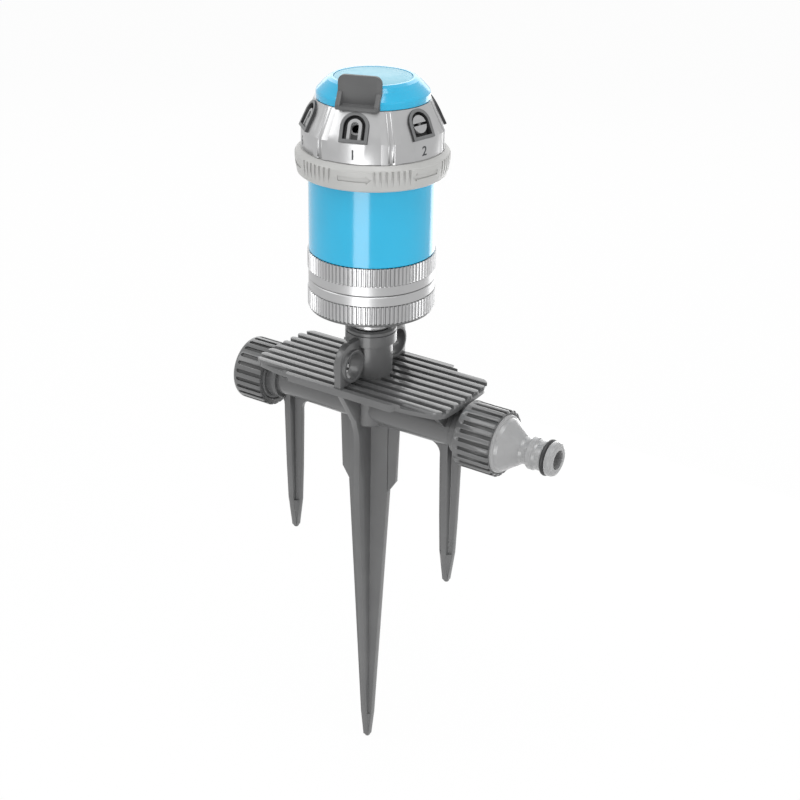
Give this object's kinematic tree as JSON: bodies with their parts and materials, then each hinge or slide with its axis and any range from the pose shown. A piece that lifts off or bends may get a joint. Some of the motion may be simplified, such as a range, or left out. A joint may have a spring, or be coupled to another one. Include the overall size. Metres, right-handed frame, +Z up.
{
  "type": "sector sprinkler",
  "caption": "Gear driven sector sprinkler: a blue head with stop rings and a nozzle turret on a riser, a ribbed foot plate, ground spikes, an end cap and a hose connector.",
  "frame": {"origin": "on the vertical axis of the head and riser, level with the ground that the pipe lies on, where the middle spike enters it", "axes": "+Z up along the head's axis, +X along the pipe towards the hose connector, -Y towards the side that the picture shows"},
  "size_m": [0.1828, 0.0726, 0.3771],
  "materials": {
    "base_plastic": "dark grey moulded plastic, fine matt grain",
    "dark_plastic": "dark grey moulded plastic, satin",
    "blue_plastic": "cyan blue glossy plastic",
    "silver_trim": "plastic with a bright silver coat",
    "pale_plastic": "light grey moulded plastic",
    "connector_plastic": "light grey moulded plastic, satin",
    "white_plastic": "natural white acetal",
    "black_rubber": "black rubber",
    "steel": "stainless steel",
    "bush_brass": "brass"
  },
  "bodies": {
    "base": {"base_pipe": "base_plastic", "foot_plate": "base_plastic", "front_ear": "base_plastic", "back_ear": "base_plastic", "centre_spike": "base_plastic", "left_spike": "base_plastic", "right_spike": "base_plastic", "riser_washer": "black_rubber", "inlet_stem": "silver_trim", "inlet_strainer": "white_plastic", "bottom_cover": "dark_plastic", "gear_case": "dark_plastic", "gear_case_lid": "dark_plastic", "gear_pins": "steel", "shaft_bush": "bush_brass"},
    "reverser": {"trip_lever": "white_plastic", "swirl_plate": "white_plastic"},
    "turbine": {"turbine_wheel": "white_plastic", "turbine_pinion": "white_plastic"},
    "gear_one": {"first_gear": "white_plastic"},
    "gear_two": {"second_gear": "white_plastic"},
    "gear_three": {"third_gear": "white_plastic"},
    "head": {"output_shaft": "white_plastic", "body_shell": "blue_plastic", "body_seal": "black_rubber", "ring_clip": "steel", "rotor_core": "dark_plastic", "outlet_seal": "black_rubber", "outlet_spring": "steel", "detent_ball": "steel", "detent_spring": "steel", "cap": "blue_plastic", "cap_disc": "blue_plastic", "cap_screw": "steel", "selector_tab": "dark_plastic"},
    "lower_ring": {"lower_stop_ring": "silver_trim"},
    "upper_ring": {"upper_stop_ring": "silver_trim"},
    "turret": {"turret_shell": "silver_trim", "grip_ring": "pale_plastic", "nozzle_carrier": "dark_plastic", "nozzle_1": "silver_trim", "nozzle_2": "silver_trim", "nozzle_3": "silver_trim", "nozzle_4": "silver_trim", "nozzle_5": "silver_trim", "nozzle_6": "silver_trim"},
    "cap_seal": {"cap_washer": "black_rubber"},
    "end_cap": {"end_cap": "base_plastic"},
    "union_seal": {"union_washer": "black_rubber"},
    "connector": {"hose_connector": "connector_plastic", "connector_oring": "black_rubber"},
    "union_nut": {"union_nut": "base_plastic"}
  },
  "joints": [
    {"name": "head_turn", "type": "hinge", "parent": "base", "child": "head", "pos_m": [0, 0, 0.093], "axis": [0, 0, 1], "range_deg": [-150, 150]},
    {"name": "lower_ring_turn", "type": "hinge", "parent": "head", "child": "lower_ring", "pos_m": [0, 0, 0.0715], "axis": [0, 0, 1], "range_deg": [0, 150]},
    {"name": "upper_ring_turn", "type": "hinge", "parent": "head", "child": "upper_ring", "pos_m": [0, 0, 0.0855], "axis": [0, 0, 1], "range_deg": [-150, 0]},
    {"name": "nozzle_select", "type": "hinge", "parent": "head", "child": "turret", "pos_m": [0, 0, 0.145], "axis": [0, 0, 1], "continuous": true},
    {"name": "reverser_trip", "type": "hinge", "parent": "base", "child": "reverser", "pos_m": [0, 0, 0.08], "axis": [0, 0, 1], "range_deg": [0, 12]},
    {"name": "turbine_spin", "type": "hinge", "parent": "base", "child": "turbine", "pos_m": [0, 0, 0.097], "axis": [0, 0, 1], "continuous": true},
    {"name": "gear_one_spin", "type": "hinge", "parent": "base", "child": "gear_one", "pos_m": [0.01091, 0.0063, 0.105], "axis": [0, 0, 1], "continuous": true},
    {"name": "gear_two_spin", "type": "hinge", "parent": "base", "child": "gear_two", "pos_m": [0, 0, 0.108], "axis": [0, 0, 1], "continuous": true},
    {"name": "gear_three_spin", "type": "hinge", "parent": "base", "child": "gear_three", "pos_m": [0.01091, 0.0063, 0.105], "axis": [0, 0, 1], "continuous": true},
    {"name": "cap_travel", "type": "slide", "parent": "base", "child": "cap_seal", "axis": [-1, 0, 0], "range_m": [0, 0.0072]},
    {"name": "end_cap_turn", "type": "hinge", "parent": "cap_seal", "child": "end_cap", "pos_m": [-0.067, 0, 0.01], "axis": [1, 0, 0], "range_deg": [0, 1440]},
    {"name": "nut_travel", "type": "slide", "parent": "base", "child": "union_seal", "axis": [1, 0, 0], "range_m": [0, 0.0072]},
    {"name": "union_nut_turn", "type": "hinge", "parent": "union_seal", "child": "union_nut", "pos_m": [0.068, 0, 0.01], "axis": [1, 0, 0], "range_deg": [0, 1440]},
    {"name": "connector_swivel", "type": "hinge", "parent": "union_seal", "child": "connector", "pos_m": [0.09, 0, 0.01], "axis": [1, 0, 0], "continuous": true}
  ],
  "couplings": [
    {"joint": "gear_three_spin", "follows": "head_turn", "ratio": -2.5},
    {"joint": "gear_two_spin", "follows": "head_turn", "ratio": 6.25},
    {"joint": "gear_one_spin", "follows": "head_turn", "ratio": -15.625},
    {"joint": "turbine_spin", "follows": "head_turn", "ratio": 39.062},
    {"joint": "cap_travel", "follows": "end_cap_turn", "m_per_rad": 0.00028648},
    {"joint": "nut_travel", "follows": "union_nut_turn", "m_per_rad": 0.00028648}
  ]
}
